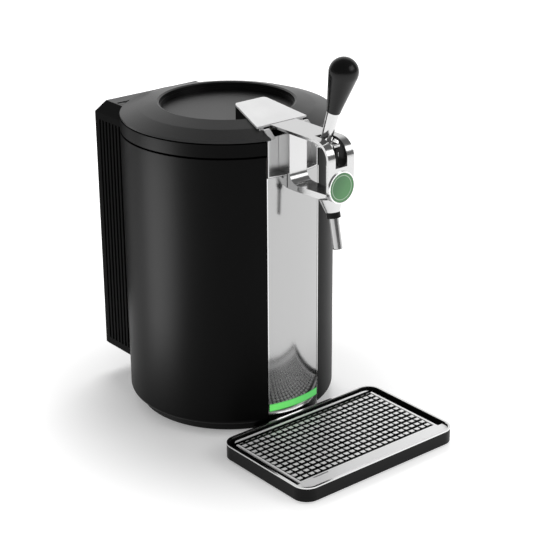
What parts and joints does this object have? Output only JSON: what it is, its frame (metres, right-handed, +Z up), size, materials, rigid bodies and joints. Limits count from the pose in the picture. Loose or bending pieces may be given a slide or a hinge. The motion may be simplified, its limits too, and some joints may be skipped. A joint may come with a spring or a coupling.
{
  "type": "mini keg beer dispenser",
  "caption": "Round countertop keg cooler with hinged dished lid, chromed tap tower and lever, light band, rear cooling housing and a pull-out drip tray.",
  "frame": {"origin": "on the surface it stands on, under the middle of its bounding box", "axes": "+Z up, -Y towards the tap and drip tray, +X to the right seen from the tap side"},
  "size_m": [0.24, 0.413, 0.4482],
  "materials": {
    "black_shell": "satin black moulding",
    "dark_plastic": "fine-grained black moulding",
    "rubber": "matt",
    "inner_plastic": "plain black moulding",
    "supply_case": "folded sheet",
    "board": "coated board",
    "foam": "moulded foam",
    "liner_metal": "drawn and extruded",
    "mirror_steel": "polished sheet",
    "bright_trim": "plated",
    "light": "translucent light guide",
    "tap_metal": "satin plated casting",
    "badge_green": "enamelled disc",
    "nozzle_black": "black",
    "nozzle_metal": "drawn tube",
    "handle_black": "satin black",
    "steel_pins": "turned",
    "cover_white": "smooth white moulding",
    "module_ceramic": "ceramic faced",
    "grille_steel": "brushed sheet"
  },
  "bodies": {
    "cooler": {"base_plate": "dark_plastic", "rubber_feet": "rubber", "chassis": "inner_plastic", "power_supply": "supply_case", "control_board": "board", "body_shell": "black_shell", "mouth_ring": "dark_plastic", "collar_ring": "black_shell", "insulation_sleeve": "foam", "keg_liner": "liner_metal", "keg_pad": "rubber", "front_carrier": "dark_plastic", "foot_band": "bright_trim", "light_guide": "light", "front_strip": "mirror_steel", "strip_trim": "bright_trim", "niche_liner": "mirror_steel", "tap_body": "tap_metal", "badge_rim": "bright_trim", "tap_badge": "badge_green", "nozzle_collar": "nozzle_black", "nozzle_tube": "nozzle_metal", "lever_pin": "steel_pins", "hinge_bracket": "steel_pins", "rear_housing": "dark_plastic", "rear_grille": "dark_plastic", "grille_screws": "steel_pins", "cold_block": "liner_metal", "cooling_module": "module_ceramic", "heat_sink": "liner_metal", "fan_frame": "inner_plastic", "power_inlet": "inner_plastic", "switch_bezel": "inner_plastic"},
    "lid": {"lid_shell": "black_shell", "lid_liner": "dark_plastic", "lid_plug": "foam", "lid_gasket": "rubber", "slot_trim": "bright_trim", "lid_hinge_pin": "steel_pins"},
    "cover": {"tap_cover": "cover_white", "cover_frame": "dark_plastic", "cover_pins": "steel_pins"},
    "lever": {"lever_stem": "bright_trim", "lever_handle": "handle_black"},
    "valve": {"valve_rod": "nozzle_metal"},
    "tray": {"drip_tray": "dark_plastic", "tray_rim": "bright_trim", "tray_feet": "rubber"},
    "grille": {"drip_grille": "grille_steel"},
    "fan": {"fan_rotor": "inner_plastic"},
    "rocker": {"switch_rocker": "handle_black"}
  },
  "joints": [
    {"name": "lid_hinge", "type": "hinge", "parent": "cooler", "child": "lid", "pos_m": [0, 0.1844, 0.3374], "axis": [-1, 0, 0], "range_deg": [0, 72]},
    {"name": "cover_hinge", "type": "hinge", "parent": "lid", "child": "cover", "pos_m": [0, -0.0333, 0.354], "axis": [1, 0, 0], "range_deg": [0, 78]},
    {"name": "lever_pull", "type": "hinge", "parent": "cooler", "child": "lever", "pos_m": [0, -0.108, 0.353], "axis": [1, 0, 0], "range_deg": [0, 30], "stiffness_Nm_per_rad": 0.8, "springref_deg": -28.65},
    {"name": "valve_press", "type": "slide", "parent": "cooler", "child": "valve", "axis": [0, 0, -1], "range_m": [0, 0.0079]},
    {"name": "tray_slide", "type": "slide", "parent": "cooler", "child": "tray", "axis": [0, -1, 0], "range_m": [0, 0.06]},
    {"name": "grille_lift", "type": "slide", "parent": "tray", "child": "grille", "axis": [0, 0, 1], "range_m": [0, 0.05]},
    {"name": "fan_spin", "type": "hinge", "parent": "cooler", "child": "fan", "pos_m": [0, 0.1893, 0.164], "axis": [0, 1, 0], "continuous": true},
    {"name": "rocker_tilt", "type": "hinge", "parent": "cooler", "child": "rocker", "pos_m": [0.048, 0.2017, 0.056], "axis": [-1, 0, 0], "range_deg": [0, 16]}
  ],
  "couplings": [
    {"joint": "valve_press", "follows": "lever_pull", "m_per_rad": 0.0151}
  ]
}
